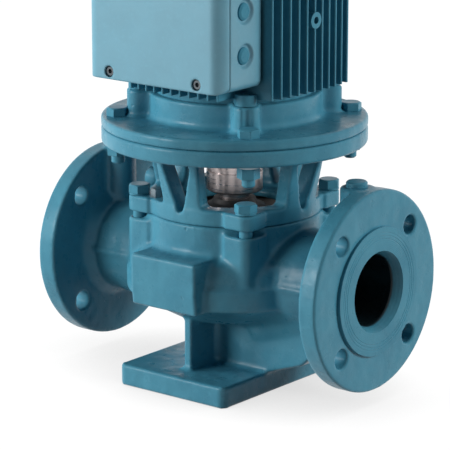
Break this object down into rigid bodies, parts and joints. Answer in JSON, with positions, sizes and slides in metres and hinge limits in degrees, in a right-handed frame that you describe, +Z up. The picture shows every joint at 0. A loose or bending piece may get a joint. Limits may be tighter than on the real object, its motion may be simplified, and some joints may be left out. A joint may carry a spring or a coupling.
{
  "type": "in-line circulation pump",
  "caption": "In-line circulation pump: flanged volute casing on a foot, open lantern, and an upright finned electric motor with terminal box and fan cowl.",
  "frame": {"origin": "middle of the foot's underside, on the motor axis", "axes": "+Z up along the motor shaft, +X along the pipe towards the suction flange, -Y towards the terminal box"},
  "size_m": [0.33, 0.245, 0.53],
  "materials": {
    "casting_paint": "satin paint",
    "fastener_paint": "satin paint",
    "motor_paint": "satin paint",
    "cover_paint": "satin paint",
    "cowl_paint": "satin paint",
    "bare_iron": "machined",
    "bright_steel": "bright",
    "dark_steel": "black oxide",
    "shaft_steel": "turned",
    "bearing_steel": "ground",
    "bronze": "machined",
    "copper_seal": "bright",
    "gasket": "fibre",
    "rubber": "matt",
    "ceramic": "lapped",
    "carbon": "lapped",
    "spring_steel": "drawn wire",
    "lamination": "stacked sheet",
    "winding": "varnished",
    "cage": "die cast",
    "fan_plastic": "moulded",
    "board": "moulded",
    "terminal_brass": "bright"
  },
  "bodies": {
    "pump_body": {"pump_casing": "casting_paint", "wear_ring": "bronze", "casing_gasket": "gasket", "gauge_plugs": "fastener_paint", "gauge_plug_rings": "copper_seal", "seal_cover": "bare_iron", "seal_seat": "ceramic", "seat_cup": "rubber", "lantern": "casting_paint", "jacking_screws": "bright_steel", "lug_bolts": "dark_steel", "lug_washers": "bright_steel", "flange_bolts": "fastener_paint", "flange_washers": "bright_steel", "flange_nuts": "fastener_paint", "drive_end_shield": "casting_paint", "shield_screws": "dark_steel", "lip_seal": "rubber", "front_bearing_outer": "bearing_steel", "bearing_circlip": "dark_steel", "motor_frame": "motor_paint", "stator_core": "lamination", "stator_windings": "winding", "rear_shield": "motor_paint", "rear_shield_screws": "dark_steel", "rear_bearing_outer": "bearing_steel", "wave_spring": "bright_steel", "fan_cowl": "cowl_paint", "cowl_screws": "bright_steel", "terminal_box": "motor_paint", "box_screws": "bright_steel", "cover_gasket": "rubber", "terminal_cover": "cover_paint", "cover_screws": "bright_steel", "entry_plugs": "fastener_paint", "terminal_board": "board", "board_screws": "bright_steel", "terminal_studs": "terminal_brass", "terminal_links": "terminal_brass"},
    "rotor": {"motor_shaft": "shaft_steel", "motor_key": "bright_steel", "rotor_core": "lamination", "rotor_end_rings": "cage", "front_bearing_inner": "bearing_steel", "rear_bearing_inner": "bearing_steel", "fan": "fan_plastic", "fan_circlip": "dark_steel", "pump_shaft": "shaft_steel", "hub_grub_screws": "dark_steel", "slinger": "rubber", "seal_head": "carbon", "seal_spring": "spring_steel", "impeller": "bronze", "impeller_key": "bright_steel", "impeller_washer": "bright_steel", "impeller_nut": "bright_steel"},
    "front_balls": {"front_ball_set": "bearing_steel"},
    "rear_balls": {"rear_ball_set": "bearing_steel"}
  },
  "joints": [
    {"name": "rotor_spin", "type": "hinge", "parent": "pump_body", "child": "rotor", "pos_m": [0, 0, 0.3], "axis": [0, 0, 1], "continuous": true},
    {"name": "front_ball_spin", "type": "hinge", "parent": "pump_body", "child": "front_balls", "pos_m": [0, 0, 0.258], "axis": [0, 0, 1], "continuous": true},
    {"name": "rear_ball_spin", "type": "hinge", "parent": "pump_body", "child": "rear_balls", "pos_m": [0, 0, 0.4495], "axis": [0, 0, 1], "continuous": true}
  ],
  "couplings": [
    {"joint": "front_ball_spin", "follows": "rotor_spin", "ratio": 0.3983},
    {"joint": "rear_ball_spin", "follows": "rotor_spin", "ratio": 0.3974}
  ]
}
